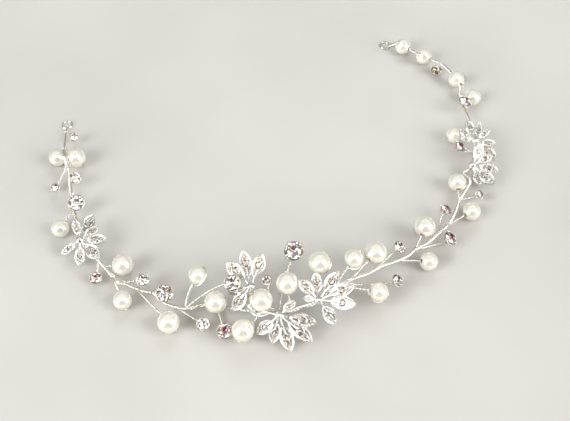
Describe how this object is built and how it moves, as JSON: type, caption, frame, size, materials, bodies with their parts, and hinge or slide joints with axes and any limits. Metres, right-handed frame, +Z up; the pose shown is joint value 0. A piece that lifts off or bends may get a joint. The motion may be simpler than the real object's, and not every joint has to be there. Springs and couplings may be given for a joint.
{
  "type": "hair vine",
  "caption": "Bowed hair vine of twisted wire whose twigs carry pearls, round crystals in claw settings and stone-set leaf sprigs, with an eye at each end.",
  "frame": {"origin": "middle of the vine's outline, on the surface that it lies on", "axes": "+X to the right along the longest extent, +Y towards the two ends, away from the bowed front, +Z up from the surface"},
  "size_m": [0.1532, 0.1312, 0.0165],
  "materials": {
    "pearl": "ivory pearl coating over glass",
    "crystal": "faceted and clear, foiled at the back",
    "leaf": "bright silver plating on a casting",
    "leaf_stone": "faceted and clear",
    "setting": "silver plating, dull at the back",
    "wire": "silver-plated wire, twisted"
  },
  "bodies": {
    "root": {"pearl_1": "pearl", "pearl_2": "pearl", "pearl_3": "pearl", "pearl_4": "pearl", "pearl_5": "pearl", "pearl_6": "pearl", "pearl_7": "pearl", "pearl_8": "pearl", "pearl_9": "pearl", "pearl_10": "pearl", "pearl_11": "pearl", "pearl_12": "pearl", "pearl_13": "pearl", "pearl_14": "pearl", "pearl_15": "pearl", "pearl_16": "pearl", "pearl_17": "pearl", "pearl_18": "pearl", "pearl_19": "pearl", "pearl_20": "pearl", "pearl_21": "pearl", "pearl_22": "pearl", "pearl_23": "pearl", "pearl_24": "pearl", "crystal_1": "crystal", "crystal_2": "crystal", "crystal_3": "crystal", "crystal_4": "crystal", "crystal_5": "crystal", "crystal_6": "crystal", "crystal_7": "crystal", "crystal_8": "crystal", "crystal_9": "crystal", "crystal_10": "crystal", "crystal_11": "crystal", "crystal_12": "crystal", "crystal_13": "crystal", "crystal_14": "crystal", "crystal_15": "crystal", "crystal_16": "crystal", "crystal_17": "crystal", "crystal_18": "crystal", "crystal_19": "crystal", "crystal_20": "crystal", "leaf_sprig_1": "leaf", "leaf_sprig_2": "leaf", "leaf_sprig_3": "leaf", "leaf_sprig_4": "leaf", "leaf_sprig_5": "leaf", "leaf_sprig_6": "leaf", "leaf_stones_left": "leaf_stone", "leaf_stones_front": "leaf_stone", "leaf_stones_right": "leaf_stone", "settings_left": "setting", "settings_front": "setting", "settings_right": "setting", "wire_left": "wire", "wire_front": "wire", "wire_side": "wire", "wire_right": "wire"}
  },
  "joints": []
}
